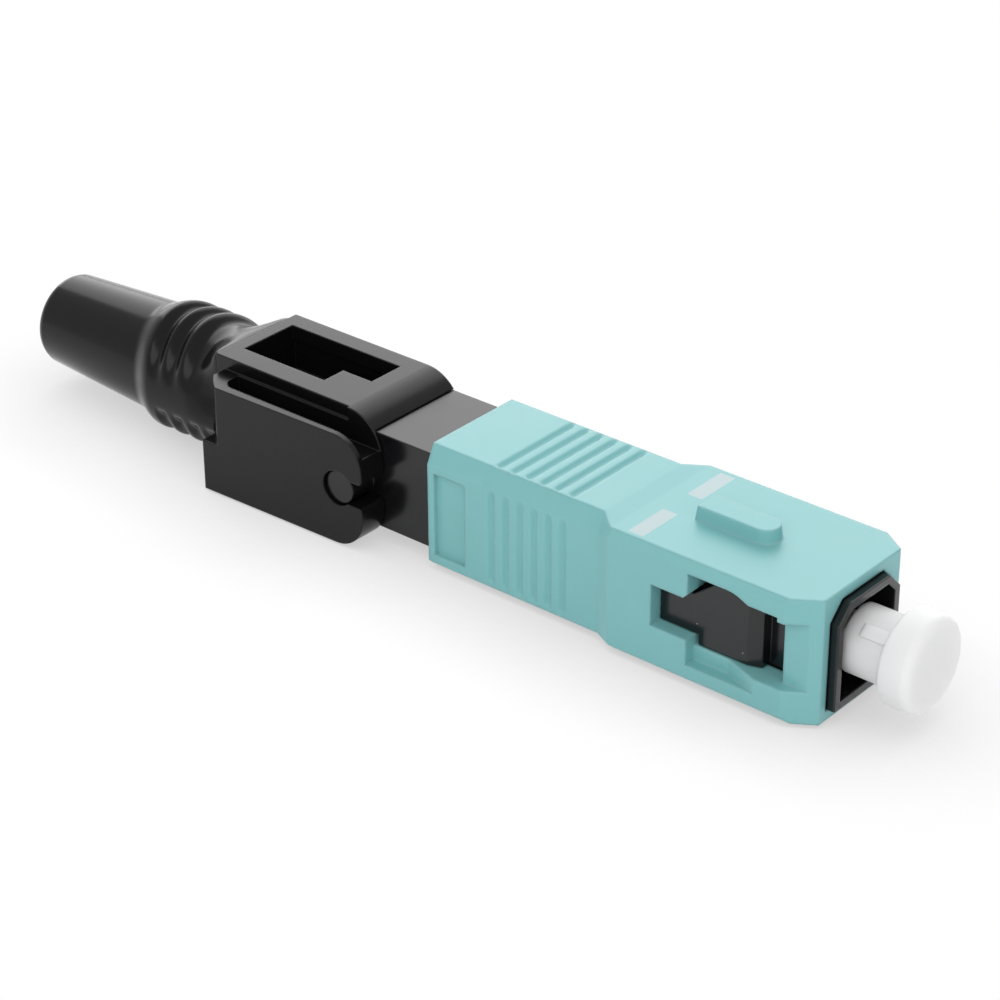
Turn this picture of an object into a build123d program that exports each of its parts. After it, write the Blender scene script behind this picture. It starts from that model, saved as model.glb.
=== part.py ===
from build123d import *

import os
from math import atan2, cos, degrees, radians, sin, sqrt

# A field-installable mechanical fibre connector in the square push-pull format.
# The frame: +X points forward out of the plug, +Z is the key side, and the origin
# is on the ferrule's axis in the plane of the outer housing's front face.
# All lengths are in millimetres.

# Outer housing
plug_width = 9.0
plug_height = 7.4
housing_rear_x = -26.05
grip_width = 7.8
grip_top_z = 3.8
grip_top_width = 6.7
grip_shoulder_z = 2.65
jog_rear_x = -14.1
jog_front_x = -12.9
shoulder_bevel = 0.14
shoulder_bevel_drop = 0.55
foot_break = 0.3
lead_in_length = 1.7
lead_in_depth = 1.1
key_rear_x = -10.0
key_front_x = -5.2
key_width = 1.76
key_height = 0.8
groove_count = 6
groove_first_x = -21.5
groove_pitch = 1.0
groove_width = 0.72
groove_depth = 0.2
groove_floor_inset = 0.39
groove_floor_drop = 0.81
label_rear_x = -25.6
label_front_x = -23.4
label_low_z = -2.92
label_high_z = 2.22
label_depth = 0.3

# Side windows of the housing
pocket_depth = 0.75
slot_rear_x = -10.1
slot_front_x = -7.75
slot_low_z = -1.15
slot_high_z = 1.35
slot_corner = 0.25
window_front_x = -2.1
window_high_z = 2.45
pocket_low_z = -2.65
pocket_high_z = 2.87
pocket_throat_low_z = -1.76
pocket_throat_high_z = 2.2
ramp_rear_x = -5.3
ramp_front_x = -2.9
cam_rear_x = -5.5
cam_front_x = -3.4

# Plug frame
frame_front_x = 0.5
frame_width = 5.5
frame_height = 6.1
frame_corner = 1.0
frame_wall = 0.45
frame_rear_x = -15.0
web_front_x = -3.8
web_rear_x = -4.6
plate_height = 0.93
plate_rear_x = -10.0
plate_wide_x = -7.9
plate_diagonal = 1.4
catch_rear_x = -4.4
catch_front_x = -3.6
catch_drop = 0.25
latch_width = 2.0
latch_rear_x = -13.2
latch_length = 1.3

# Rear body
body_width = 6.6
body_height = 6.0
pivot_x = -31.65
pivot_z = -0.25
pivot_pin_diameter = 2.0
pivot_pin_reach = 1.75
knuckle_radius = 3.2
spigot_front_x = -9.6
splice_bore = 3.3
splice_bore_rear_x = -26.0
guide_bore = 0.6
guide_outer = 3.0
guide_rear_x = -30.4
funnel_diameter = 2.4
funnel_length = 2.2
entry_diameter = 4.4
washer_thickness = 0.25

# Floating ferrule and splice
ferrule_diameter = 2.5
ferrule_length = 10.5
ferrule_tip_x = 1.7
fibre_diameter = 0.125
fibre_bore = 0.127
flange_diameter = 4.1
flange_length = 2.0
barrel_diameter = 3.1
barrel_rear_x = -9.9
carrier_size = 3.1
carrier_wall = 0.3
carrier_rear_x = -24.6
splice_length = 13.2
splice_front_x = -10.7
clip_wall = 0.15
clip_slot = 0.7
groove_angle = 60.0
lid_gap = 0.4
spring_wire = 0.35
spring_coils = 4.0
ferrule_travel = 0.8

# Dust cap
cap_stem_diameter = 3.86
cap_stem_rear_x = 0.0
cap_head_diameter = 5.4
cap_head_rear_x = 2.7
cap_head_front_x = 4.6
cap_head_round = 0.5
cap_bore_depth = 2.4
cap_key_width = 0.75
cap_key_height = 0.22
cap_key_angle = 48.0
cap_key_rear_x = 1.0

# Rear cover
cheek_width = 10.4
cheek_rear_flare = 0.3
cheek_top_z = 3.17
cheek_bottom_z = -3.8
cheek_shelf_height = 3.2
far_cheek_top_z = 2.45
far_cheek_nose_z = 0.9
hood_rear_x = -42.8
cover_rear_x = hood_rear_x + 0.7
cover_front_x = -29.85
hood_top_z = 3.97
hood_front_round = 2.45
cheek_front_round = 2.1
cheek_foot_round = 2.0
hook_mouth_low_z = -1.05
hook_mouth_high_z = 0.45
hook_tip_round = 0.3
channel_rear_x = hood_rear_x + 1.9
far_cheek_nose_x = -34.2
channel_rim = 0.35
channel_wall = 0.15
channel_depth = 1.2
channel_round = 0.8
tunnel_width = 4.6
tunnel_front_x = -35.4
tunnel_rear_x = hood_rear_x + 0.85
floor_thickness = 0.9
hood_window_front_x = -33.4
hood_window_width = 4.05
hood_window_y = 0.13
hood_window_step_x = -35.6
hood_window_step_y = -0.3
throat_diameter = 4.4

# Strain relief boot, placed from the cover's rear wall
boot_length = 16.4
boot_tail_x = hood_rear_x - boot_length
boot_tail_diameter = 5.76
boot_root_x = hood_rear_x - 8.6
boot_root_diameter = 6.72
boot_swell = 1.0
boot_rib_diameter = 7.92
boot_rib_front_x = hood_rear_x - 2.8
boot_neck_diameter = 7.0
boot_neck_round = 0.9
boot_tail_round = 0.5
rib_first_x = hood_rear_x - 5.9
rib_pitch = 1.43
rib_groove = 0.55
rib_depth = 0.45
rib_count = 2
pocket_first_x = hood_rear_x - 5.85
pocket_pitch = 1.33
pocket_width = 0.75
pocket_count = 4
cable_bore = 3.2

# Cable clamp
clamp_length = 2.6
clamp_high_z = 1.2
clamp_teeth = 3
clamp_tooth_depth = 0.25

# Running clearances
slide_gap = 0.1
body_gap = 0.05
ferrule_gap = 0.05
pivot_gap = 0.08
seat_gap = 0.05

os.makedirs("parts", exist_ok=True)


def outline(plane, points):
    """A closed face of straight edges on a plane."""
    with BuildSketch(plane, mode=Mode.PRIVATE) as face:
        with BuildLine():
            Polyline(points, close=True)
        make_face()
    return face.sketch


def section_points(width, bottom_z, top_z, inset, drop):
    """The corners of the housing's section, with bevelled shoulders and a broken foot."""
    half = width / 2
    right = [
        (half - foot_break, bottom_z),
        (half, bottom_z + foot_break),
        (half, top_z - drop),
        (half - inset, top_z),
    ]
    left = [(-y, z) for y, z in reversed(right)]
    return right + left


def housing_section(x, width, bottom_z, top_z, inset, drop):
    """The housing's cross-section at x."""
    return outline(Plane.YZ.offset(x), section_points(width, bottom_z, top_z, inset, drop))


def frame_section(x, width, height, corner):
    """A box section at x whose two top corners are cut off."""
    half_y = width / 2
    half_z = height / 2
    points = [
        (-half_y, -half_z),
        (half_y, -half_z),
        (half_y, half_z - corner),
        (half_y - corner, half_z),
        (-half_y + corner, half_z),
        (-half_y, half_z - corner),
    ]
    return outline(Plane.YZ.offset(x), points)


def save(piece, name):
    """Label a finished piece and write its file."""
    piece.part.label = name
    export_step(piece.part, f"parts/{name}.step")


# Outer housing: the plug end, the narrower grip and the step between them
plug_bottom_z = -plug_height / 2
plug_top_z = plug_height / 2
grip_inset = (grip_width - grip_top_width) / 2
grip_drop = grip_top_z - grip_shoulder_z
housing_bore_width = frame_width + 2 * slide_gap
housing_bore_height = frame_height + 2 * slide_gap
housing_stop_x = frame_rear_x + 1.65
with BuildPart() as outer_housing:
    grip_face = housing_section(
        housing_rear_x, grip_width, plug_bottom_z, grip_top_z, grip_inset, grip_drop
    )
    extrude(grip_face, amount=jog_rear_x - housing_rear_x)
    loft(
        [
            housing_section(
                jog_rear_x, grip_width, plug_bottom_z, grip_top_z, grip_inset, grip_drop
            ),
            housing_section(
                jog_front_x, plug_width, plug_bottom_z, plug_top_z,
                shoulder_bevel, shoulder_bevel_drop,
            ),
        ]
    )
    plug_face = housing_section(
        jog_front_x, plug_width, plug_bottom_z, plug_top_z,
        shoulder_bevel, shoulder_bevel_drop,
    )
    extrude(plug_face, amount=-jog_front_x)
    # The lead-in bevels on both sides of the front
    for side in (1, -1):
        lead_in = outline(
            Plane.XY.offset(plug_bottom_z - 1),
            [
                (-lead_in_length, side * plug_width / 2),
                (0, side * (plug_width / 2 - lead_in_depth)),
                (1, side * (plug_width / 2 - lead_in_depth)),
                (1, side * (plug_width / 2 + 1)),
                (-lead_in_length, side * (plug_width / 2 + 1)),
            ],
        )
        extrude(lead_in, amount=plug_height + 3, mode=Mode.SUBTRACT)
    # The key rib, square behind and rounded in front
    with BuildSketch(Plane.XY.offset(plug_top_z)):
        with BuildLine():
            key_nose_x = key_front_x - key_width / 2
            nose = ThreePointArc(
                (key_nose_x, -key_width / 2), (key_front_x, 0), (key_nose_x, key_width / 2)
            )
            Polyline(
                nose @ 1, (key_rear_x, key_width / 2), (key_rear_x, -key_width / 2), nose @ 0
            )
        make_face()
    extrude(amount=key_height, taper=6)
    # The finger grooves round the grip
    for i in range(groove_count):
        with BuildSketch(
            Plane.YZ.offset(groove_first_x + i * groove_pitch - groove_width / 2)
        ):
            Rectangle(grip_width + 2, plug_height + 3)
            with BuildLine():
                floor_points = section_points(
                    grip_width - 2 * groove_depth, plug_bottom_z + groove_depth,
                    grip_top_z - groove_depth, groove_floor_inset, groove_floor_drop,
                )
                Polyline(floor_points, close=True)
            make_face(mode=Mode.SUBTRACT)
        extrude(amount=groove_width, mode=Mode.SUBTRACT)
    # The shallow label field on the near side
    with BuildSketch(Plane.XZ.offset(grip_width / 2)):
        with Locations(
            ((label_rear_x + label_front_x) / 2, (label_low_z + label_high_z) / 2)
        ):
            Rectangle(label_front_x - label_rear_x, label_high_z - label_low_z)
    extrude(amount=-label_depth, mode=Mode.SUBTRACT)
    # The side windows: a pocket outside, ramped at its throat, and an opening in its floor
    for side in (1, -1):
        outer_y = side * plug_width / 2
        floor_y = outer_y - side * pocket_depth
        with BuildSketch(Plane.XZ.offset(-outer_y)):
            with BuildLine():
                above = Polyline(
                    (slot_rear_x, slot_high_z), (slot_front_x - slot_corner, slot_high_z),
                    (slot_front_x, slot_high_z + slot_corner),
                    (slot_front_x, pocket_high_z), (ramp_rear_x, pocket_high_z),
                )
                ramp = Spline(
                    above @ 1, (ramp_front_x, pocket_throat_high_z), tangents=((1, 0), (1, 0))
                )
                Polyline(
                    ramp @ 1, (1, pocket_throat_high_z), (1, pocket_throat_low_z),
                    (cam_front_x, pocket_throat_low_z), (cam_front_x, pocket_low_z),
                    (slot_front_x, pocket_low_z), (slot_front_x, slot_low_z),
                    (slot_rear_x, slot_low_z), above @ 0,
                )
            make_face()
        extrude(amount=side * pocket_depth, mode=Mode.SUBTRACT)
        with BuildSketch(Plane.XZ.offset(-outer_y)):
            with BuildLine():
                Polyline(
                    (slot_rear_x, slot_low_z), (slot_front_x, slot_low_z),
                    (slot_front_x, pocket_throat_low_z), (window_front_x, pocket_throat_low_z),
                    (window_front_x, window_high_z), (slot_front_x, window_high_z),
                    (slot_front_x, slot_high_z + slot_corner),
                    (slot_front_x - slot_corner, slot_high_z), (slot_rear_x, slot_high_z),
                    close=True,
                )
            make_face()
        extrude(amount=side * plug_width / 2, mode=Mode.SUBTRACT)
        # The cam on the lower ledge, which spreads the adapter's hooks
        cam = outline(
            Plane.XY.offset(pocket_low_z),
            [
                (cam_rear_x, floor_y), (cam_front_x, outer_y),
                (cam_front_x, floor_y - side * 0.3), (cam_rear_x, floor_y - side * 0.3),
            ],
        )
        extrude(cam, amount=pocket_throat_low_z - pocket_low_z)
    # The bore: a close fit on the plug frame, wider behind for the rear body
    extrude(
        frame_section(1, housing_bore_width, housing_bore_height, frame_corner),
        amount=housing_stop_x - 1,
        mode=Mode.SUBTRACT,
    )
    with BuildSketch(Plane.YZ.offset(housing_rear_x - 1)):
        Rectangle(body_width + 2 * slide_gap, body_height + 2 * slide_gap)
    extrude(amount=housing_stop_x - housing_rear_x + 1, mode=Mode.SUBTRACT)
save(outer_housing, "outer_housing")

# Plug frame: the black inner shell that shows at the front and in the windows
frame_bore_width = frame_width - 2 * frame_wall
frame_bore_height = frame_height - 2 * frame_wall
frame_bore_corner = frame_corner - 0.35
with BuildPart() as plug_frame:
    extrude(
        frame_section(frame_rear_x, frame_width, frame_height, frame_corner),
        amount=frame_front_x - frame_rear_x,
    )
    # Side plates that fill the housing's windows, sloping down to a catch in front
    for side in (1, -1):
        root_y = side * (frame_width / 2 - frame_wall / 2)
        face_y = side * (frame_width / 2 + plate_height)
        with BuildSketch(Plane.XZ.offset(-root_y)):
            with BuildLine():
                tongue_low_z = slot_low_z + slide_gap
                tongue_high_z = slot_high_z - slide_gap
                wide_low_z = pocket_throat_low_z + slide_gap
                wide_high_z = window_high_z - slide_gap
                Polyline(
                    (plate_rear_x, tongue_low_z), (plate_wide_x + 0.4, tongue_low_z),
                    (plate_wide_x + 0.4, wide_low_z), (catch_front_x, wide_low_z),
                    (catch_front_x, wide_high_z), (plate_wide_x + plate_diagonal, wide_high_z),
                    (plate_wide_x, tongue_high_z), (plate_rear_x, tongue_high_z), close=True,
                )
            make_face()
        extrude(amount=-side * (plate_height + frame_wall / 2))
        slope = outline(
            Plane.XY.offset(wide_low_z - 1),
            [
                (catch_rear_x, face_y), (catch_front_x, face_y - side * catch_drop),
                (catch_front_x + 1, face_y - side * catch_drop),
                (catch_front_x + 1, face_y + side), (catch_rear_x, face_y + side),
            ],
        )
        extrude(slope, amount=wide_high_z - wide_low_z + 2, mode=Mode.SUBTRACT)
    # The mouth, the web that the ferrule's flange seats on, and the rear bore
    extrude(
        frame_section(frame_front_x, frame_bore_width, frame_bore_height, frame_bore_corner),
        amount=web_front_x - frame_front_x,
        mode=Mode.SUBTRACT,
    )
    extrude(
        frame_section(frame_rear_x, frame_bore_width, frame_bore_height, frame_bore_corner),
        amount=web_rear_x - frame_rear_x,
        mode=Mode.SUBTRACT,
    )
    with Locations(Plane.YZ.offset(web_front_x)):
        Hole(ferrule_diameter / 2 + 4 * ferrule_gap, depth=web_front_x - web_rear_x + 0.5)
    # Latch windows in the top and bottom walls
    with Locations((latch_rear_x + latch_length / 2, 0, 0)):
        Box(latch_length, latch_width, frame_height + 1, mode=Mode.SUBTRACT)
save(plug_frame, "plug_frame")

# Rear body: spigot, main block, rounded knuckle and the two pivot pins
with BuildPart() as rear_body:
    with BuildSketch(Plane.XZ.offset(-body_width / 2)):
        with BuildLine():
            half_z = body_height / 2
            top_reach = sqrt(knuckle_radius**2 - min(knuckle_radius, half_z - pivot_z) ** 2)
            foot_reach = sqrt(knuckle_radius**2 - (half_z + pivot_z) ** 2)
            knuckle_top = (pivot_x - top_reach, min(half_z, pivot_z + knuckle_radius))
            knuckle_foot = (pivot_x - foot_reach, -half_z)
            knuckle = ThreePointArc(knuckle_top, (pivot_x - knuckle_radius, pivot_z), knuckle_foot)
            Polyline(
                knuckle @ 1, (frame_rear_x - body_gap, -half_z),
                (frame_rear_x - body_gap, half_z), (pivot_x + 0.4, half_z), knuckle @ 0,
            )
        make_face()
    extrude(amount=body_width)
    with BuildSketch(Plane.YZ.offset(frame_rear_x - body_gap)):
        Rectangle(frame_bore_width - 2 * body_gap, frame_bore_height - 2 * body_gap)
        spigot_corners = vertices().group_by(Axis.Y)[-1]
        chamfer(spigot_corners, frame_bore_corner)
    extrude(amount=spigot_front_x - frame_rear_x + body_gap)
    # Snap tabs that sit in the frame's latch windows
    for side in (1, -1):
        tab_root = frame_bore_height / 2 - body_gap
        tab = outline(
            Plane.XZ.offset(latch_width / 2 - seat_gap),
            [
                (latch_rear_x + seat_gap, side * (tab_root - 0.3)),
                (latch_rear_x + seat_gap, side * (frame_height / 2 - 0.1)),
                (latch_rear_x + 0.4, side * (frame_height / 2 - 0.1)),
                (latch_rear_x + latch_length - seat_gap, side * tab_root),
                (latch_rear_x + latch_length - seat_gap, side * (tab_root - 0.3)),
            ],
        )
        extrude(tab, amount=-(latch_width - 2 * seat_gap))
    # The pivot pins, one solid bar until the guide is cut through it
    with Locations((pivot_x, 0, pivot_z)):
        Cylinder(
            pivot_pin_diameter / 2, body_width + 2 * pivot_pin_reach, rotation=(90, 0, 0)
        )
    # The splice chamber, the seat of the fibre guide and the cable entry
    with BuildSketch(Plane.YZ.offset(splice_bore_rear_x)):
        Rectangle(splice_bore, splice_bore)
    extrude(amount=spigot_front_x - splice_bore_rear_x + 1, mode=Mode.SUBTRACT)
    with BuildSketch(Plane.XY):
        with BuildLine():
            knuckle_rear_x = pivot_x - knuckle_radius
            Polyline(
                (knuckle_rear_x - 0.5, 0), (splice_bore_rear_x + 0.5, 0),
                (splice_bore_rear_x + 0.5, guide_outer / 2), (guide_rear_x, guide_outer / 2),
                (knuckle_rear_x + 0.8, entry_diameter / 2 - 0.6),
                (knuckle_rear_x - 0.5, entry_diameter / 2 + 0.4),
                close=True,
            )
        make_face()
    revolve(axis=Axis.X, mode=Mode.SUBTRACT)
save(rear_body, "rear_body")

# Fibre guide: a funnel pressed into the body behind the splice
with BuildPart() as fibre_guide:
    with BuildSketch(Plane.XY):
        with BuildLine():
            Polyline(
                (guide_rear_x, funnel_diameter / 2), (guide_rear_x, guide_outer / 2),
                (splice_bore_rear_x, guide_outer / 2), (splice_bore_rear_x, guide_bore / 2),
                (guide_rear_x + funnel_length, guide_bore / 2), close=True,
            )
        make_face()
    revolve(axis=Axis.X)
save(fibre_guide, "fibre_guide")

# Spring washer on the spigot's front end
with BuildPart() as spring_washer:
    with BuildSketch(Plane.YZ.offset(spigot_front_x)):
        Circle(flange_diameter / 2)
        Circle(barrel_diameter / 2 + slide_gap, mode=Mode.SUBTRACT)
    extrude(amount=washer_thickness)
save(spring_washer, "spring_washer")

# Ferrule: a ceramic cylinder with a bevelled tip and a fibre bore
ferrule_rear_x = ferrule_tip_x - ferrule_length
with BuildPart() as ferrule:
    with BuildSketch(Plane.YZ.offset(ferrule_rear_x)):
        Circle(ferrule_diameter / 2)
        Circle(fibre_bore / 2, mode=Mode.SUBTRACT)
    extrude(amount=ferrule_length)
    tip_rim = edges().filter_by(GeomType.CIRCLE).group_by(Axis.X)[-1].sort_by(SortBy.RADIUS)[-1]
    chamfer(tip_rim, 0.25, 0.6)
save(ferrule, "ferrule")

# Fibre stub: from the polished tip to the middle of the splice
with BuildPart() as fibre_stub:
    stub_rear_x = splice_front_x - splice_length / 2
    with BuildSketch(Plane.YZ.offset(stub_rear_x)):
        Circle(fibre_diameter / 2)
    extrude(amount=ferrule_tip_x - stub_rear_x)
save(fibre_stub, "fibre_stub")

# Splice carrier: flange and barrel round the ferrule, then an open trough
flange_front_x = web_rear_x
flange_rear_x = flange_front_x - flange_length
carrier_inner = carrier_size - 2 * carrier_wall
with BuildPart() as splice_carrier:
    with BuildSketch(Plane.YZ.offset(flange_rear_x)):
        RegularPolygon(flange_diameter / 2, 6, rotation=30)
    extrude(amount=flange_length)
    with BuildSketch(Plane.YZ.offset(barrel_rear_x)):
        Circle(barrel_diameter / 2)
    extrude(amount=flange_rear_x - barrel_rear_x)
    with BuildSketch(Plane.YZ.offset(carrier_rear_x)):
        Rectangle(carrier_size, carrier_size)
    extrude(amount=barrel_rear_x - carrier_rear_x)
    with BuildSketch(Plane.YZ.offset(ferrule_rear_x)):
        Circle(ferrule_diameter / 2)
    extrude(amount=flange_front_x - ferrule_rear_x, mode=Mode.SUBTRACT)
    with BuildSketch(Plane.YZ.offset(carrier_rear_x - 1)):
        Circle(0.6)
    extrude(amount=ferrule_rear_x - carrier_rear_x + 1, mode=Mode.SUBTRACT)
    # The trough is open on top for the splice and its clip
    trough_rear_x = splice_front_x - splice_length - seat_gap
    with Locations(
        ((splice_front_x + seat_gap + trough_rear_x) / 2, 0, carrier_wall)
    ):
        Box(
            splice_front_x + seat_gap - trough_rear_x, carrier_inner, carrier_size,
            mode=Mode.SUBTRACT,
        )
save(splice_carrier, "splice_carrier")

# Splice clip: a C of spring steel that squeezes the lids onto the base
clip_outer = carrier_inner - 2 * seat_gap
clip_rear_x = splice_front_x - splice_length
clip_low_z = carrier_wall - carrier_size / 2 + seat_gap
with BuildPart() as splice_clip:
    with BuildSketch(Plane.YZ.offset(clip_rear_x)):
        with Locations((0, clip_low_z + clip_outer / 2)):
            RectangleRounded(clip_outer, clip_outer, 0.3)
            RectangleRounded(
                clip_outer - 2 * clip_wall, clip_outer - 2 * clip_wall, 0.15, mode=Mode.SUBTRACT
            )
        with Locations((-clip_outer / 2, clip_low_z + clip_outer / 2)):
            Rectangle(clip_outer / 2, clip_slot, mode=Mode.SUBTRACT)
    extrude(amount=splice_length)
save(splice_clip, "splice_clip")

# Splice base with its V groove along the axis, and the two lids over it
splice_inner = clip_outer - 2 * clip_wall - 2 * seat_gap
base_low_z = clip_low_z + clip_wall + seat_gap
with BuildPart() as splice_base:
    with BuildSketch(Plane.YZ.offset(clip_rear_x)):
        with Locations((0, (base_low_z + fibre_diameter / 4) / 2)):
            Rectangle(splice_inner, fibre_diameter / 4 - base_low_z)
        vee_depth = 0.35
        vee_half = vee_depth * sin(radians(groove_angle / 2)) / cos(radians(groove_angle / 2))
        vee_low_z = -fibre_diameter / 2 / sin(radians(groove_angle / 2)) - 0.004
        with BuildLine():
            Polyline(
                (0, vee_low_z), (vee_half, vee_low_z + vee_depth),
                (-vee_half, vee_low_z + vee_depth), close=True,
            )
        make_face(mode=Mode.SUBTRACT)
    extrude(amount=splice_length)
save(splice_base, "splice_base")

lid_low_z = fibre_diameter / 2 + 0.004
lid_top_z = clip_low_z + clip_outer - clip_wall - seat_gap
lid_length = (splice_length - lid_gap) / 2
for name, lid_rear_x in (
    ("stub_lid", splice_front_x - lid_length),
    ("field_lid", clip_rear_x),
):
    with BuildPart() as lid:
        with BuildSketch(Plane.YZ.offset(lid_rear_x)):
            with Locations((0, (lid_low_z + lid_top_z) / 2)):
                Rectangle(splice_inner, lid_top_z - lid_low_z)
        extrude(amount=lid_length)
    save(lid, name)

# Ferrule spring between the flange and the spigot
spring_rear_x = spigot_front_x + washer_thickness + seat_gap
spring_length = flange_rear_x - seat_gap - spring_rear_x
spring_radius = barrel_diameter / 2 + spring_wire / 2 + 0.1
spring_pitch = (spring_length - spring_wire) / spring_coils
with BuildPart() as ferrule_spring:
    coil_start = spring_rear_x + spring_wire / 2
    with BuildLine():
        coil = Helix(
            spring_pitch, spring_length - spring_wire, spring_radius,
            center=(coil_start, 0, 0), direction=(1, 0, 0),
        )
    with BuildSketch(Plane(coil @ 0, z_dir=coil % 0)):
        RegularPolygon(spring_wire / 2, 6)
    sweep(is_frenet=True)
save(ferrule_spring, "ferrule_spring")

# Dust cap: a stem over the ferrule's tip and a thick round head
with BuildPart() as dust_cap:
    with BuildSketch(Plane.YZ.offset(cap_stem_rear_x)):
        Circle(cap_stem_diameter / 2)
    extrude(amount=cap_head_rear_x - cap_stem_rear_x)
    # A gripping rib along the stem
    with BuildSketch(Plane.YZ.offset(cap_key_rear_x)):
        key_turn = radians(180 - cap_key_angle)
        key_middle = (
            cap_stem_diameter / 2 * cos(key_turn), cap_stem_diameter / 2 * sin(key_turn)
        )
        with Locations(Location((*key_middle, 0), (0, 0, 180 - cap_key_angle))):
            Rectangle(2 * cap_key_height, cap_key_width)
    extrude(amount=cap_head_rear_x - cap_key_rear_x)
    with BuildSketch(Plane.YZ.offset(cap_head_rear_x)):
        Circle(cap_head_diameter / 2)
    extrude(amount=cap_head_front_x - cap_head_rear_x)
    head_rims = edges().filter_by(GeomType.CIRCLE).filter_by(
        lambda e: abs(e.radius - cap_head_diameter / 2) < 0.01
    )
    fillet(head_rims.sort_by(Axis.X)[-1], cap_head_round)
    chamfer(head_rims.sort_by(Axis.X)[0], cap_head_round / 3)
    with Locations(Plane((cap_stem_rear_x, 0, 0), z_dir=(-1, 0, 0))):
        Hole(ferrule_diameter / 2 + ferrule_gap, depth=cap_bore_depth)
save(dust_cap, "dust_cap")

# Rear cover: hood, two hooked cheeks, a floor and a tunnel for the cable
hood_low_z = body_height / 2 + body_gap
cheek_inner = body_width / 2 + body_gap
cheek_outer = cheek_width / 2 + cheek_rear_flare
hood_nose_x = cover_front_x - hood_front_round
hood_nose_z = hood_top_z - hood_front_round
lip_x = hood_nose_x + sqrt(hood_front_round**2 - (hood_low_z - hood_nose_z) ** 2)
lip_angle = degrees(atan2(hood_low_z - hood_nose_z, lip_x - hood_nose_x))
tunnel_low_z = cheek_bottom_z + floor_thickness
shelf_z = cheek_bottom_z + cheek_shelf_height
with BuildPart() as rear_cover:
    # The cheeks: the near one rises to the hood's channel, the far one is lower
    for side, top_z in ((-1, cheek_top_z), (1, far_cheek_top_z)):
        with BuildSketch(Plane.XZ.offset(-side * cheek_inner)):
            with BuildLine():
                foot_x = cover_front_x - cheek_foot_round
                foot_z = cheek_bottom_z + cheek_foot_round
                foot = CenterArc((foot_x, foot_z), cheek_foot_round, -90, 90)
                if side < 0:
                    nose_x = cover_front_x - cheek_front_round
                    nose_z = top_z - cheek_front_round
                    nose = CenterArc((nose_x, nose_z), cheek_front_round, 0, 90)
                else:
                    nose = Spline(
                        (cover_front_x, far_cheek_nose_z), (pivot_x, far_cheek_nose_z + 0.7),
                        (far_cheek_nose_x, top_z), tangents=((0, 1), (-1, 0)),
                    )
                Line(foot @ 1, nose @ 0)
                Polyline(
                    nose @ 1, (cover_rear_x, top_z), (cover_rear_x, cheek_bottom_z), foot @ 0
                )
            make_face()
        extrude(amount=-side * (cheek_outer - cheek_inner))
        # The cheek widens a little towards the tail
        flare = outline(
            Plane.XY.offset(cheek_bottom_z - 1),
            [
                (cover_front_x, side * cheek_width / 2),
                (cover_rear_x, side * cheek_outer),
                (cover_rear_x, side * (cheek_outer + 1)),
                (cover_front_x, side * (cheek_outer + 1)),
            ],
        )
        extrude(flare, amount=cheek_top_z - cheek_bottom_z + 2, mode=Mode.SUBTRACT)
    # The rear block between the cheeks, behind the body's knuckle
    with BuildSketch(Plane.XZ.offset(-cheek_inner)):
        with BuildLine():
            Polyline(
                (hood_rear_x, cheek_bottom_z), (tunnel_front_x, cheek_bottom_z),
                (tunnel_front_x, hood_low_z + 0.3), (hood_rear_x, hood_low_z + 0.3),
                close=True,
            )
        make_face()
    extrude(amount=2 * cheek_inner)
    # The hood over the rear body, with its rounded nose
    with BuildSketch(Plane.XZ.offset(-cheek_inner)):
        with BuildLine():
            brow = CenterArc(
                (hood_nose_x, hood_nose_z), hood_front_round, lip_angle, 90 - lip_angle
            )
            Polyline(
                brow @ 1, (hood_rear_x, hood_top_z), (hood_rear_x, hood_low_z), brow @ 0
            )
        make_face()
    extrude(amount=2 * cheek_inner)
    # The hood's near rim runs on down beside the body
    with BuildSketch(Plane.XZ.offset(cheek_inner)):
        with BuildLine():
            rim = CenterArc((hood_nose_x, hood_nose_z), hood_front_round, 10, 80)
            Polyline(rim @ 1, (hood_nose_x, hood_nose_z), rim @ 0)
        make_face()
    extrude(amount=channel_wall)
    # The near channel beside the hood, rounded behind and open in front
    with BuildSketch(Plane.XY.offset(cheek_top_z - channel_depth)):
        channel_outer = cheek_width / 2 - channel_rim
        channel_inner = cheek_inner + channel_wall
        with BuildLine():
            bend = CenterArc(
                (channel_rear_x + channel_round, -channel_outer + channel_round),
                channel_round, 180, 90,
            )
            Polyline(
                bend @ 1, (cover_front_x + 1, -channel_outer),
                (cover_front_x + 1, -channel_inner), (channel_rear_x, -channel_inner), bend @ 0,
            )
        make_face()
    extrude(amount=channel_depth + 1, mode=Mode.SUBTRACT)
    for side in (1, -1):
        # The cove behind the cheek above its shelf
        with BuildSketch(Plane.XY.offset(shelf_z)):
            with BuildLine():
                cove = ThreePointArc(
                    (channel_rear_x, side * (cheek_outer - 0.05)),
                    (cover_rear_x + 0.1, side * (cheek_width / 2 - 0.75)),
                    (hood_rear_x, side * cheek_inner),
                )
                Polyline(
                    cove @ 1, (hood_rear_x - 1, side * cheek_inner),
                    (hood_rear_x - 1, side * (cheek_outer + 1)),
                    (channel_rear_x, side * (cheek_outer + 1)), cove @ 0,
                )
            make_face()
        extrude(amount=hood_top_z - shelf_z + 1, mode=Mode.SUBTRACT)
    # The tunnel for the cable, open in front, and the throat in the rear wall
    with Locations(
        ((tunnel_rear_x + tunnel_front_x + 0.1) / 2, 0, (tunnel_low_z + hood_low_z) / 2)
    ):
        Box(
            tunnel_front_x + 0.1 - tunnel_rear_x, tunnel_width, hood_low_z - tunnel_low_z,
            mode=Mode.SUBTRACT,
        )
    with Locations(Plane((tunnel_rear_x, 0, 0), z_dir=(1, 0, 0))):
        Hole(throat_diameter / 2, depth=tunnel_rear_x - hood_rear_x + 0.5)
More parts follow.
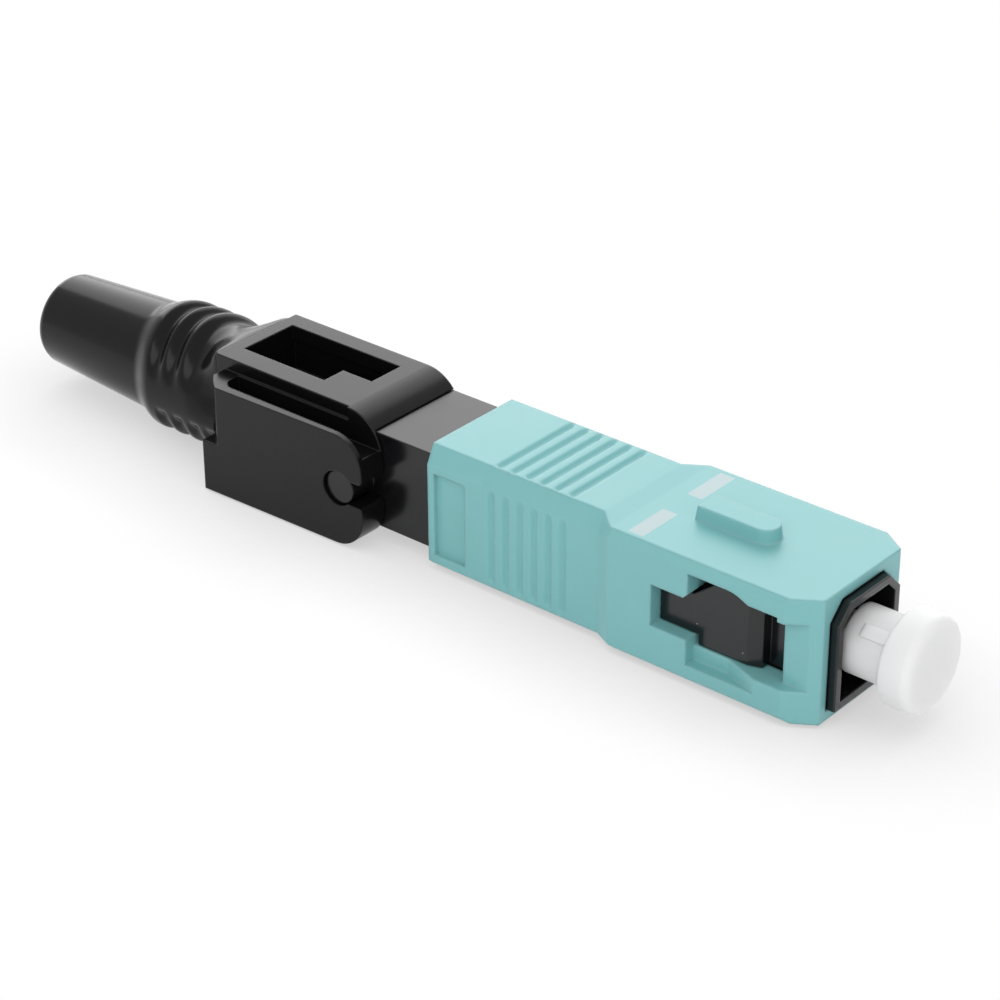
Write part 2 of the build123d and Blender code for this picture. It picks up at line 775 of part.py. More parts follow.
    # The stepped window in the hood
    with BuildSketch(Plane.XY.offset(hood_low_z - 0.1)):
        with BuildLine():
            half_w = hood_window_width / 2
            Polyline(
                (tunnel_rear_x, hood_window_y - half_w),
                (hood_window_step_x, hood_window_y - half_w),
                (hood_window_step_x, hood_window_step_y),
                (hood_window_front_x, hood_window_step_y),
                (hood_window_front_x, hood_window_y + half_w),
                (tunnel_rear_x, hood_window_y + half_w), close=True,
            )
        make_face()
    extrude(amount=hood_top_z, mode=Mode.SUBTRACT)
    # The hooks: a round seat on each pivot pin, open to the front
    with Locations((pivot_x, 0, pivot_z)):
        Cylinder(
            pivot_pin_diameter / 2 + pivot_gap, cheek_width + 4,
            rotation=(90, 0, 0), mode=Mode.SUBTRACT,
        )
    with BuildSketch(Plane.XZ.offset(-cheek_width / 2 - 2)):
        with BuildLine():
            Polyline(
                (pivot_x, hook_mouth_low_z), (cover_front_x + 1, hook_mouth_low_z),
                (cover_front_x + 1, hook_mouth_high_z), (pivot_x, hook_mouth_high_z),
                close=True,
            )
        make_face()
    extrude(amount=cheek_width + 4, mode=Mode.SUBTRACT)
    tips = edges().filter_by(Axis.Y).filter_by(
        lambda e: abs(e.center().X - cover_front_x) < 0.01
        and hook_mouth_low_z - 0.01 < e.center().Z < hook_mouth_high_z + 0.01
    )
    fillet(tips, hook_tip_round)
save(rear_cover, "rear_cover")

# Strain relief boot: tapered tail, rings and pockets, and a neck onto the cover
tail_r = boot_tail_diameter / 2
root_r = boot_root_diameter / 2
rib_r = boot_rib_diameter / 2
neck_r = boot_neck_diameter / 2
with BuildPart() as strain_relief_boot:
    with BuildSketch(Plane.XY):
        with BuildLine():
            flank = Polyline(
                (boot_rib_front_x, 0), (boot_tail_x, 0),
                (boot_tail_x, tail_r - boot_tail_round),
                (boot_tail_x + boot_tail_round, tail_r), (boot_root_x, root_r),
            )
            Polyline(
                flank @ 1, (boot_root_x + boot_swell / 2, rib_r - 0.12),
                (boot_root_x + boot_swell, rib_r), (boot_rib_front_x, rib_r), flank @ 0,
            )
        make_face()
    revolve(axis=Axis.X)
    # The neck goes from the round to the cover's rear outline
    with BuildSketch(Plane.YZ.offset(boot_rib_front_x)):
        Circle(neck_r)
    with BuildSketch(Plane.YZ.offset(hood_rear_x)):
        with Locations((0, (hood_top_z + cheek_bottom_z + 0.4) / 2)):
            RectangleRounded(
                2 * cheek_inner, hood_top_z - cheek_bottom_z - 0.4, boot_neck_round
            )
    loft()
    # The flanks' smooth spines run on from the ribbed part into the neck
    for side in (1, -1):
        with BuildSketch(Plane.YZ.offset(boot_rib_front_x)):
            with Locations((side * (rib_r - 0.6), -0.7)):
                RectangleRounded(1.2, 1.9, 0.3)
        extrude(amount=hood_rear_x - boot_rib_front_x - 0.5)
    # Grooves between the rings on top, level where they fade into the flanks
    for i in range(rib_count):
        with BuildSketch(Plane.YZ.offset(rib_first_x + i * rib_pitch - rib_groove / 2)):
            Circle(rib_r + 1)
            Circle(rib_r - rib_depth, mode=Mode.SUBTRACT)
            with Locations((0, -rib_r)):
                Rectangle(2 * rib_r + 4, 2 * rib_r + 1.2, mode=Mode.SUBTRACT)
        extrude(amount=rib_groove, mode=Mode.SUBTRACT)
    # Pockets in both lower sides
    for i in range(pocket_count):
        for side in (1, -1):
            with BuildSketch(
                Plane.YZ.offset(pocket_first_x + i * pocket_pitch - pocket_width / 2)
            ):
                Circle(rib_r + 1)
                Circle(rib_r - rib_depth, mode=Mode.SUBTRACT)
                with Locations((-side * rib_r, 0)):
                    Rectangle(2 * rib_r + 2.8, 4 * rib_r, mode=Mode.SUBTRACT)
                with Locations((0, rib_r)):
                    Rectangle(4 * rib_r, 2 * rib_r + 2.8, mode=Mode.SUBTRACT)
            extrude(amount=pocket_width, mode=Mode.SUBTRACT)
    with Locations(Plane((boot_tail_x, 0, 0), z_dir=(-1, 0, 0))):
        Hole(cable_bore / 2)
save(strain_relief_boot, "strain_relief_boot")

# Cable clamp: a toothed saddle that grips the jacket inside the cover
clamp_rear_x = tunnel_rear_x + seat_gap
tooth_pitch = clamp_length / clamp_teeth
with BuildPart() as cable_clamp:
    with BuildSketch(Plane.YZ.offset(clamp_rear_x)):
        with Locations((0, (tunnel_low_z + clamp_high_z) / 2)):
            Rectangle(tunnel_width - 2 * seat_gap, clamp_high_z - tunnel_low_z)
        with Locations((0, clamp_high_z / 2 + 0.5)):
            Rectangle(cable_bore, clamp_high_z + 1, mode=Mode.SUBTRACT)
        Circle(cable_bore / 2, mode=Mode.SUBTRACT)
    extrude(amount=clamp_length)
    # Sawtooth rings bite into the jacket
    for i in range(clamp_teeth):
        x = clamp_rear_x + i * tooth_pitch
        with BuildSketch(Plane.YZ.offset(x + tooth_pitch / 4)):
            Circle(cable_bore / 2 + clamp_tooth_depth)
        extrude(amount=tooth_pitch / 2, mode=Mode.SUBTRACT)
save(cable_clamp, "cable_clamp")
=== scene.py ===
"""Looks of a field-installable mechanical fibre connector.

The moulded, ground and stamped pieces keep their solid shapes from the frame and get their
finishes here. Three pieces have surfaces of their own. The strain relief boot has rings and
pockets that fade into smooth flanks. The skin of the housing's grip has grooves that fade
out before they reach the corners. The ferrule's spring is a merged copy that moves with the
plug's body. A studio with a pale floor and soft light goes round them. Lengths are in metres.
"""

import bmesh
import bpy
import numpy as np
from bpy.props import FloatProperty, FloatVectorProperty, IntProperty, PointerProperty
from mathutils import Matrix, Vector


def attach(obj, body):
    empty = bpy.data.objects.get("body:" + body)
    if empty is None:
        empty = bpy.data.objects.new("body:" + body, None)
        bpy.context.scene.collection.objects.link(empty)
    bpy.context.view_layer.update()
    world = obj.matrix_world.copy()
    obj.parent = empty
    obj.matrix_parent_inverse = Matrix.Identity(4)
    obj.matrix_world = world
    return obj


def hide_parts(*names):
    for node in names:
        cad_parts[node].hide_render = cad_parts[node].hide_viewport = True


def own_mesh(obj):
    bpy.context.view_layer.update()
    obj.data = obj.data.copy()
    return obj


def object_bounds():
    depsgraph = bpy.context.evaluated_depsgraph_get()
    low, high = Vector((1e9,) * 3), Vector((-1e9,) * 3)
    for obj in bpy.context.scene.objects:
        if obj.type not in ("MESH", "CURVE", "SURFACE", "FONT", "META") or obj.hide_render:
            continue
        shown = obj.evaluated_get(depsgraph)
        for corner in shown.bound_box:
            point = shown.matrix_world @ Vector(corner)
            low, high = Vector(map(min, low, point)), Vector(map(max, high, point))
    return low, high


bl_info = {
    "name": "Mechanical Fibre Connector",
    "version": (1, 0, 0),
    "blender": (4, 5, 0),
    "location": "View3D > Sidebar > Fibre Connector",
    "description": "Finishes, boot surface and studio for a push-pull fibre connector",
    "category": "Object",
}

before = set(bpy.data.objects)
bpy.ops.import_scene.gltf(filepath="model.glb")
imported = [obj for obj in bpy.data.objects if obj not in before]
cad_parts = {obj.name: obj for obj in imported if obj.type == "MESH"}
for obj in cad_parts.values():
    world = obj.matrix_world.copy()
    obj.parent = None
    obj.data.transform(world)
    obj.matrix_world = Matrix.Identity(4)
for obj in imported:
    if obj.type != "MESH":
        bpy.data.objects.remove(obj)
SOLID_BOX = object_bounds()
MM = 0.001
WHITE = (1.0, 1.0, 1.0, 1.0)


# Settings


def colour(name, text, value):
    """A linear colour setting."""
    return FloatVectorProperty(
        name=name, description=text, default=value, size=3, subtype="COLOR", min=0, max=1
    )


def length(name, text, value):
    """A length setting in metres."""
    return FloatProperty(name=name, description=text, default=value, unit="LENGTH")


def share(name, text, value):
    """A setting from nothing to all."""
    return FloatProperty(
        name=name, description=text, default=value, min=0, max=1, subtype="FACTOR"
    )


def tilt(name, text, value):
    """An angle setting in radians."""
    return FloatProperty(name=name, description=text, default=value, subtype="ANGLE")


def level(name, text, value):
    """A plain number setting, such as a brightness."""
    return FloatProperty(name=name, description=text, default=value)


def count(name, text, value):
    """A whole number setting of one or more."""
    return IntProperty(name=name, description=text, default=value, min=1)


class HousingSettings(bpy.types.PropertyGroup):
    """The aqua outer housing."""

    plastic: colour("Plastic", "Colour of the moulded housing", (0.226, 0.52, 0.53))
    print_colour: colour("Print", "Colour of the two printed bars", (0.46, 0.55, 0.575))
    roughness: share("Roughness", "How satin the moulding is", 0.36)
    grain: length("Grain", "Size of the mould's fine grain", 0.00009)
    bar_rear: length("Bar Rear", "Rear edge of the printed bars along the plug", -0.01197)
    bar_front: length("Bar Front", "Front edge of the printed bars along the plug", -0.01100)
    bar_inner: length("Bar Inner", "Distance of the bars' inner ends from the middle", 0.00105)
    bar_outer: length("Bar Outer", "Distance of the bars' outer ends from the middle", 0.00405)
    grip_rear: length("Grip Rear", "Rear end of the grooved skin", -0.0221)
    grip_front: length("Grip Front", "Front end of the grooved skin", -0.0159)
    groove_first: length("Groove First", "Middle of the rearmost finger groove", -0.0215)
    groove_pitch: length("Groove Pitch", "Distance from one groove to the next", 0.001)
    groove_count: count("Groove Count", "Number of finger grooves on each side", 6)
    groove_width: length("Groove Width", "Width of a groove at the skin", 0.00062)
    groove_depth: length("Groove Depth", "Depth of a groove at its middle", 0.0002)
    groove_fade: length("Groove Fade", "Length over which a groove runs out", 0.0004)


class MouldingSettings(bpy.types.PropertyGroup):
    """The black mouldings."""

    frame_plastic: colour("Frame", "Colour of the plug frame", (0.006, 0.006, 0.007))
    body_plastic: colour("Body", "Colour of the rear body", (0.005, 0.005, 0.0058))
    cover_plastic: colour("Cover", "Colour of the rear cover", (0.0046, 0.0045, 0.0051))
    boot_plastic: colour("Boot", "Colour of the strain relief boot", (0.0036, 0.0036, 0.0042))
    clamp_plastic: colour("Clamp", "Colour of the cable clamp", (0.012, 0.012, 0.013))
    roughness: share("Roughness", "How dull the glossy black is", 0.2)


class BootSettings(bpy.types.PropertyGroup):
    """The strain relief boot."""

    tail: length("Tail", "Rear end along the connector's axis", -0.0592)
    root: length("Root", "Where the tapered tube meets the ribbed part", -0.0509)
    ribs_rear: length("Ribs Rear", "Rear end of the ribbed part", -0.0491)
    ribs_front: length("Ribs Front", "Front end of the ribbed part", -0.0464)
    lean: length("Lean", "How far the rings lean forward on the flanks", 0.00085)
    neck: length("Neck", "Rear face of the cover, where the boot begins", -0.0428)
    tail_radius: length("Tail Radius", "Radius at the tail", 0.00288)
    root_radius: length("Root Radius", "Radius of the tube at its root", 0.00336)
    rib_radius: length("Rib Radius", "Radius over the ribs", 0.00396)
    neck_radius: length("Neck Radius", "Radius of the waist in front of the ribs", 0.0035)
    bore_radius: length("Bore Radius", "Radius of the cable's bore", 0.0016)
    lip: length("Lip", "Rounding of the tail's end", 0.0005)
    ring_first: length("Ring First", "Middle of the rearmost groove", -0.0485)
    ring_pitch: length("Ring Pitch", "Distance from one groove to the next", 0.00135)
    ring_count: count("Ring Count", "Number of grooves between the rings", 2)
    ring_depth: length("Ring Depth", "Depth of the grooves between the rings", 0.00038)
    pocket_first: length("Pocket First", "Middle of the rearmost lower pocket", -0.0482)
    pocket_pitch: length("Pocket Pitch", "Distance from one lower pocket to the next", 0.00137)
    pocket_count: count("Pocket Count", "Number of lower pockets on each flank", 4)
    pocket_depth: length("Pocket Depth", "Depth of the lower pockets", 0.00035)
    around: count("Around", "Faces round the boot", 240)


class CapSettings(bpy.types.PropertyGroup):
    """The dust cap."""

    plastic: colour("Plastic", "Colour of the milky plastic", (0.84, 0.84, 0.845))
    depth: length("Depth", "How far light wanders inside the plastic", 0.0011)
    roughness: share("Roughness", "How satin the cap is", 0.5)


class InnerSettings(bpy.types.PropertyGroup):
    """The ferrule, its spring and the splice."""

    ceramic: colour("Ceramic", "Colour of the ground ceramic", (0.82, 0.81, 0.77))
    alloy: colour("Alloy", "Colour of the splice's alloy", (0.62, 0.63, 0.65))
    steel: colour("Steel", "Colour of spring, clip and washer", (0.47, 0.47, 0.48))
    natural: colour("Natural", "Colour of the natural mouldings", (0.66, 0.65, 0.60))


class StudioSettings(bpy.types.PropertyGroup):
    """Camera, light and floor."""

    focal: level("Focal Length", "Camera lens in millimetres", 106.6165)
    azimuth: tilt("Azimuth", "Camera's turn round the part", 0.702565)
    elevation: tilt("Elevation", "Camera's height angle", 0.510386)
    roll: tilt("Roll", "Camera's tilt about its view", -0.005055)
    back_light: level("Back Light", "Brightness of the large sheet behind", 2.25)
    key_light: level("Key Light", "Brightness of the sheet in front", 2.1)
    side_light: level("Side Light", "Brightness of the sheet on the right", 1.2)
    room: level("Room", "Brightness of the pale room all round", 0.46)
    floor: colour("Floor", "Colour of the pale floor", (0.9, 0.9, 0.9))
    floor_lift: level("Floor Lift", "Glow of the floor in mirrors and glass", 0.4)
    shadow_reach: length("Shadow Reach", "How far the part's shade spreads on the floor", 0.008)
    shadow_depth: share("Shadow Depth", "How dark the shade is under the part", 0.55)


SETTINGS = {
    "housing": HousingSettings,
    "mouldings": MouldingSettings,
    "boot": BootSettings,
    "cap": CapSettings,
    "inner": InnerSettings,
    "studio": StudioSettings,
}


class ConnectorSettings(bpy.types.PropertyGroup):
    """All settings of the connector."""

    housing: PointerProperty(type=HousingSettings)
    mouldings: PointerProperty(type=MouldingSettings)
    boot: PointerProperty(type=BootSettings)
    cap: PointerProperty(type=CapSettings)
    inner: PointerProperty(type=InnerSettings)
    studio: PointerProperty(type=StudioSettings)


# Building node trees

# A Mix node's sockets for colours: its factor, its first and its second colour, its result
MIX_INPUTS = (0, 6, 7)
MIX_RESULT = 2


def set_inputs(node, values):
    """Set a node's inputs by name, with an underscore for each space."""
    for title, value in values.items():
        node.inputs[title.replace("_", " ")].default_value = value


def add(tree, kind, **values):
    """A node with its properties and unlinked inputs set by name."""
    node = tree.nodes.new(kind)
    for key, value in values.items():
        if hasattr(node, key) and key not in node.inputs:
            setattr(node, key, value)
        else:
            set_inputs(node, {key: value})
    return node


def join(tree, source, target):
    """A link from an output to an input."""
    tree.links.new(source, target)


def feed(tree, value, target):
    """Set an input to a number or a colour, or link an output to it."""
    if isinstance(value, (int, float)):
        target.default_value = value
    elif isinstance(value, tuple):
        target.default_value = value[:3] + (1.0,)
    else:
        join(tree, value, target)


def calc(tree, operation, *values, clamp=False):
    """A math node fed by sockets or numbers, and its output."""
    node = add(tree, "ShaderNodeMath", operation=operation, use_clamp=clamp)
    for target, value in zip(node.inputs, values):
        feed(tree, value, target)
    return node.outputs[0]


def blend(tree, amount, first, second):
    """A colour mix of two sockets or colours, and its output."""
    node = add(tree, "ShaderNodeMix", data_type="RGBA")
    for place, value in zip(MIX_INPUTS, (amount, first, second)):
        feed(tree, value, node.inputs[place])
    return node.outputs[MIX_RESULT]


def lay_over(tree, mask, amount, under, over):
    """A colour laid over another by a mask times an amount, and its output."""
    return blend(tree, calc(tree, "MULTIPLY", mask, amount), under, over)


def mix_shaders(tree, amount, first, second):
    """A mix of two shaders' outputs, and its output."""
    node = tree.nodes.new("ShaderNodeMixShader")
    for target, source in zip(node.inputs, (amount, first, second)):
        join(tree, source, target)
    return node.outputs[0]


def object_place(tree):
    """Where a point of the surface is in its object's own frame."""
    return tree.nodes.new("ShaderNodeTexCoord").outputs["Object"]


def new_group(name, inputs, outputs):
    """An empty shader group with named inputs and outputs, and its two end nodes."""
    tree = bpy.data.node_groups.new(name, "ShaderNodeTree")
    for title, kind, value in inputs:
        item = tree.interface.new_socket(title, in_out="INPUT", socket_type=kind)
        item.default_value = value
    for title, kind in outputs:
        tree.interface.new_socket(title, in_out="OUTPUT", socket_type=kind)
    return tree, tree.nodes.new("NodeGroupInput"), tree.nodes.new("NodeGroupOutput")


# Shared effects

NUMBER = "NodeSocketFloat"
DIRECTION = "NodeSocketVector"


def mould_grain():
    """Fine grain of the mould over a slow wave where the plastic has shrunk.

    Height is the grain's noise plus the wave's times the wave height. Roughness is its middle
    value plus the spread times a swing: the wave less one half, plus 0.4 times the grain less
    one half.
    """
    tree, given, result = new_group(
        "Mould Grain",
        [
            ("Grain Scale", NUMBER, 9000.0),
            ("Wave Scale", NUMBER, 260.0),
            ("Wave Height", NUMBER, 1.0),
            ("Roughness", NUMBER, 0.3),
            ("Spread", NUMBER, 0.08),
        ],
        [("Height", NUMBER), ("Roughness", NUMBER), ("Wave", NUMBER)],
    )
    place = object_place(tree)
    grain = add(tree, "ShaderNodeTexNoise", Detail=3.0, Roughness=0.6)
    wave = add(tree, "ShaderNodeTexNoise", Detail=2.0, Roughness=0.45)
    for noise, scale in ((grain, "Grain Scale"), (wave, "Wave Scale")):
        join(tree, place, noise.inputs["Vector"])
        join(tree, given.outputs[scale], noise.inputs["Scale"])
    lift = calc(tree, "MULTIPLY", wave.outputs["Fac"], given.outputs["Wave Height"])
    join(tree, calc(tree, "ADD", grain.outputs["Fac"], lift), result.inputs["Height"])
    slow = calc(tree, "SUBTRACT", wave.outputs["Fac"], 0.5)
    fine = calc(tree, "MULTIPLY", calc(tree, "SUBTRACT", grain.outputs["Fac"], 0.5), 0.4)
    swing = calc(tree, "MULTIPLY", calc(tree, "ADD", slow, fine), given.outputs["Spread"])
    rough = calc(tree, "ADD", given.outputs["Roughness"], swing, clamp=True)
    join(tree, rough, result.inputs["Roughness"])
    join(tree, wave.outputs["Fac"], result.inputs["Wave"])
    return tree


def soft_edges():
    """Rounded edges in the light, and a mask that is high along them.

    Normal is the surface's direction rounded over the radius. Edge is the gain times one less
    the cosine of the angle between that direction and the flat one.
    """
    tree, given, result = new_group(
        "Soft Edges",
        [("Gain", NUMBER, 6.0), ("Radius", NUMBER, 0.00014)],
        [("Normal", DIRECTION), ("Edge", NUMBER)],
    )
    rounded = add(tree, "ShaderNodeBevel", samples=6)
    join(tree, given.outputs["Radius"], rounded.inputs["Radius"])
    flat = add(tree, "ShaderNodeNewGeometry")
    match = add(tree, "ShaderNodeVectorMath", operation="DOT_PRODUCT")
    join(tree, rounded.outputs["Normal"], match.inputs[0])
    join(tree, flat.outputs["True Normal"], match.inputs[1])
    away = calc(tree, "SUBTRACT", 1.0, match.outputs["Value"])
    edge = calc(tree, "MULTIPLY", away, given.outputs["Gain"], clamp=True)
    join(tree, rounded.outputs["Normal"], result.inputs["Normal"])
    join(tree, edge, result.inputs["Edge"])
    return tree


def fine_dust():
    """Sparse bright specks.

    Speck is 1 in the cores of scattered cells, where a slow noise is above the spread.
    """
    tree, given, result = new_group(
        "Fine Dust",
        [("Cell Scale", NUMBER, 1500.0), ("Speck", NUMBER, 0.07), ("Spread", NUMBER, 0.62)],
        [("Speck", NUMBER)],
    )
    place = object_place(tree)
    cells = add(tree, "ShaderNodeTexVoronoi")
    join(tree, place, cells.inputs["Vector"])
    join(tree, given.outputs["Cell Scale"], cells.inputs["Scale"])
    patches = add(tree, "ShaderNodeTexNoise", Scale=900.0, Detail=2.0)
    join(tree, place, patches.inputs["Vector"])
    core = calc(tree, "LESS_THAN", cells.outputs["Distance"], given.outputs["Speck"])
    kept = calc(tree, "GREATER_THAN", patches.outputs["Fac"], given.outputs["Spread"])
    join(tree, calc(tree, "MULTIPLY", core, kept), result.inputs["Speck"])
    return tree


def printed_bars():
    """Mask of two ink bars on the upper face: inside a span along X and a span of |Y|."""
    tree, given, result = new_group(
        "Printed Bars",
        [
            ("Rear", NUMBER, -0.012),
            ("Front", NUMBER, -0.011),
            ("Inner", NUMBER, 0.001),
            ("Outer", NUMBER, 0.004),
            ("Above", NUMBER, 0.0035),
        ],
        [("Ink", NUMBER)],
    )
    split = tree.nodes.new("ShaderNodeSeparateXYZ")
    join(tree, object_place(tree), split.inputs[0])
    along, across, up = split.outputs
    aside = calc(tree, "ABSOLUTE", across)
    first, *others = [
        calc(tree, "GREATER_THAN", along, given.outputs["Rear"]),
        calc(tree, "LESS_THAN", along, given.outputs["Front"]),
        calc(tree, "GREATER_THAN", aside, given.outputs["Inner"]),
        calc(tree, "LESS_THAN", aside, given.outputs["Outer"]),
        calc(tree, "GREATER_THAN", up, given.outputs["Above"]),
    ]
    mask = first
    for test in others:
        mask = calc(tree, "MULTIPLY", mask, test)
    join(tree, mask, result.inputs["Ink"])
    return tree


def milling_lines():
    """Fine parallel lines along the part, as a cutter or a drawing die leaves them.

    Height is a noise whose place along X is multiplied by the stretch.
    """
    tree, given, result = new_group(
        "Milling Lines",
        [("Line Scale", NUMBER, 9000.0), ("Stretch", NUMBER, 0.03)],
        [("Height", NUMBER)],
    )
    shrink = add(tree, "ShaderNodeVectorMath", operation="MULTIPLY")
    factors = add(tree, "ShaderNodeCombineXYZ", Y=1.0, Z=1.0)
    join(tree, given.outputs["Stretch"], factors.inputs["X"])
    join(tree, object_place(tree), shrink.inputs[0])
    join(tree, factors.outputs[0], shrink.inputs[1])
    lines = add(tree, "ShaderNodeTexNoise", Detail=2.0)
    join(tree, shrink.outputs[0], lines.inputs["Vector"])
    join(tree, given.outputs["Line Scale"], lines.inputs["Scale"])
    join(tree, lines.outputs["Fac"], result.inputs["Height"])
    return tree


GROUPS = {}
MAKERS = {
    "grain": mould_grain,
    "edges": soft_edges,
    "dust": fine_dust,
    "bars": printed_bars,
    "lines": milling_lines,
}


def place_group(tree, key, **values):
    """A shared effect in a material, with this material's own values."""
    if key not in GROUPS:
        GROUPS[key] = MAKERS[key]()
    node = add(tree, "ShaderNodeGroup", node_tree=GROUPS[key])
    set_inputs(node, values)
    return node


# Materials

# Heights of the grain's and the lines' bumps, and the colour of dust
GRAIN_DEPTH = 0.00002
LINE_DEPTH = 0.00001
DUST = (0.25, 0.25, 0.25)


def start_material(name, **principled):
    """A material with one Principled shader, its node tree and that shader."""
    material = bpy.data.materials.new(name)
    material.use_nodes = True
    shader = material.node_tree.nodes["Principled BSDF"]
    set_inputs(shader, principled)
    return material, material.node_tree, shader


def tinted(plain, factor, lift=0.0):
    """A colour times a factor plus a lift, in each part at most 1."""
    return tuple(min(1.0, lift + factor * part) for part in plain)


def relief(tree, effect, strength, depth=GRAIN_DEPTH, edges=None):
    """A bump from an effect's height, over soft edges where they are given, and its output."""
    bump = add(tree, "ShaderNodeBump", Strength=strength, Distance=depth)
    join(tree, effect.outputs["Height"], bump.inputs["Height"])
    if edges is not None:
        join(tree, edges.outputs["Normal"], bump.inputs["Normal"])
    return bump.outputs["Normal"]


def feed_shader(tree, shader, base, grain, bump=None):
    """Link a shader's colour, the grain's roughness and, where it has one, its bump."""
    join(tree, base, shader.inputs["Base Color"])
    join(tree, grain.outputs["Roughness"], shader.inputs["Roughness"])
    if bump is not None:
        join(tree, bump, shader.inputs["Normal"])


def aqua_plastic(look):
    """Satin aqua moulding: fine grain, painted highlight on the edges and the two ink bars."""
    material, tree, shader = start_material(
        "Aqua Housing", IOR=1.5, Specular_IOR_Level=0.3, Subsurface_Weight=0.12,
        Subsurface_Radius=(0.4, 0.9, 0.9), Subsurface_Scale=0.0004,
    )
    grain = place_group(
        tree, "grain", Grain_Scale=1 / look.grain, Roughness=look.roughness, Spread=0.14
    )
    edges = place_group(tree, "edges", Radius=0.00024)
    bars = place_group(
        tree, "bars", Rear=look.bar_rear, Front=look.bar_front,
        Inner=look.bar_inner, Outer=look.bar_outer,
    )
    plastic, ink = tuple(look.plastic), tuple(look.print_colour)
    deep, pale = tinted(plastic, factor=0.95), tinted(plastic, factor=0.9, lift=0.16)
    body = blend(tree, grain.outputs["Wave"], deep, plastic)
    # Painted highlight: a paler tint laid along the edges by the soft-edge mask
    edge_highlighted = lay_over(tree, edges.outputs["Edge"], amount=0.35, under=body, over=pale)
    printed = lay_over(tree, bars.outputs["Ink"], amount=0.88, under=edge_highlighted, over=ink)
    bump = relief(tree, grain, strength=0.1, edges=edges)
    feed_shader(tree, shader, printed, grain, bump)
    return material


def black_plastic(name, plastic, roughness, dusty, wave=1.0, shine=0.31):
    """Glossy black moulding: faint grain, slow waves in the shine, specks of dust."""
    material, tree, shader = start_material(name, IOR=1.5, Specular_IOR_Level=shine)
    grain = place_group(
        tree, "grain", Grain_Scale=7000.0, Wave_Height=wave, Roughness=roughness, Spread=0.16
    )
    edges = place_group(tree, "edges")
    dust = place_group(tree, "dust")
    plastic = tuple(plastic)
    pale = tinted(plastic, factor=1.8, lift=0.012)
    # Painted highlight: a paler tint laid along the edges by the soft-edge mask
    edge_highlighted = lay_over(tree, edges.outputs["Edge"], amount=0.4, under=plastic, over=pale)
    specked = lay_over(tree, dust.outputs["Speck"], amount=dusty, under=edge_highlighted, over=DUST)
    bump = relief(tree, grain, strength=0.07, edges=edges)
    feed_shader(tree, shader, specked, grain, bump)
    return material


def milky_plastic(look):
    """Milky soft plastic that light goes into, with a faint grain."""
    material, tree, shader = start_material(
        "Milky Cap", IOR=1.48, Specular_IOR_Level=0.2, Subsurface_Weight=0.85,
        Subsurface_Radius=(1.0, 0.98, 0.95), Subsurface_Scale=look.depth,
    )
    grain = place_group(
        tree, "grain", Grain_Scale=6000.0, Roughness=look.roughness, Spread=0.1
    )
    edges = place_group(tree, "edges")
    plastic = tuple(look.plastic)
    clouded = blend(tree, grain.outputs["Wave"], tinted(plastic, factor=0.965), plastic)
    bump = relief(tree, grain, strength=0.08, edges=edges)
    feed_shader(tree, shader, clouded, grain, bump)
    return material


def natural_plastic(name, plastic, roughness):
    """Uncoloured moulding of the inner pieces, slightly clouded."""
    material, tree, shader = start_material(
        name, IOR=1.5, Subsurface_Weight=0.3, Subsurface_Scale=0.0005
    )
    grain = place_group(tree, "grain", Roughness=roughness, Spread=0.12)
    plastic = tuple(plastic)
    clouded = blend(tree, grain.outputs["Wave"], tinted(plastic, factor=0.93), plastic)
    bump = relief(tree, grain, strength=0.1)
    feed_shader(tree, shader, clouded, grain, bump)
    return material


def lined_metal(name, metal, roughness, scale):
    """Bare metal with the lines of its drawing or milling."""
    material, tree, shader = start_material(name, Metallic=1.0)
    grain = place_group(tree, "grain", Roughness=roughness, Spread=0.15)
    lines = place_group(tree, "lines", Line_Scale=scale)
    metal = tuple(metal)
    lined = blend(tree, lines.outputs["Height"], tinted(metal, factor=0.8), metal)
    bump = relief(tree, lines, strength=0.2, depth=LINE_DEPTH)
    feed_shader(tree, shader, lined, grain, bump)
    return material


def clear_glass():
    """Bare glass fibre."""
    material, tree, shader = start_material(
        "Glass Fibre", IOR=1.46, Transmission_Weight=0.9, Roughness=0.03
    )
    grain = place_group(tree, "grain", Roughness=0.04, Spread=0.03)
    glass = blend(tree, grain.outputs["Wave"], (0.9, 0.95, 0.97), (0.97, 0.99, 1.0))
    feed_shader(tree, shader, glass, grain)
    return material


def dress(node_name, material):
    """Give a solid of the frame one material."""
    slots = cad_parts[node_name].data.materials
    slots.clear()
    slots.append(material)


# Meshes and objects

# Corners closer than this are one, and a cut this close to a corner goes through it
MERGE_DISTANCE = 0.001 * MM
CUT_DISTANCE = 0.0001 * MM
# Least cosine between the directions of a copy's face and of the solid's face that it was
SAME_DIRECTION = 0.98


def step(low, high, value):
    """Smooth step: 0 below low, 1 above high, and a cubic between."""
    t = np.clip((value - low) / (high - low), 0.0, 1.0)
    return t * t * (3.0 - 2.0 * t)


def from_nearest(x, first, pitch, number):
    """Distance from x to the nearest place of an evenly spaced row, in pitches."""
    place = (x - first) / pitch
    return np.abs(place - np.clip(np.round(place), 0, number - 1))


def grid_faces(rows, columns, closed):
    """Quads of a grid of points, as an array of point numbers.

    A closed grid also joins its last row to its first, and its last column to its first.
    """
    rim = 0 if closed else 1
    row, column = np.meshgrid(np.arange(rows - rim), np.arange(columns - rim), indexing="ij")
    after, beside = (row + 1) % rows, (column + 1) % columns
    corners = (row * columns + column, after * columns + column,
               after * columns + beside, row * columns + beside)
    return np.stack(corners, axis=-1).reshape(-1, 4)


def link_object(name, data):
    """An object of a mesh, lamp or camera, at the scene's origin."""
    item = bpy.data.objects.new(name, data)
    bpy.context.scene.collection.objects.link(item)
    return item


def shade_smooth(mesh):
    """Turn every face of a mesh smooth."""
    mesh.polygons.foreach_set("use_smooth", np.ones(len(mesh.polygons), dtype=bool))


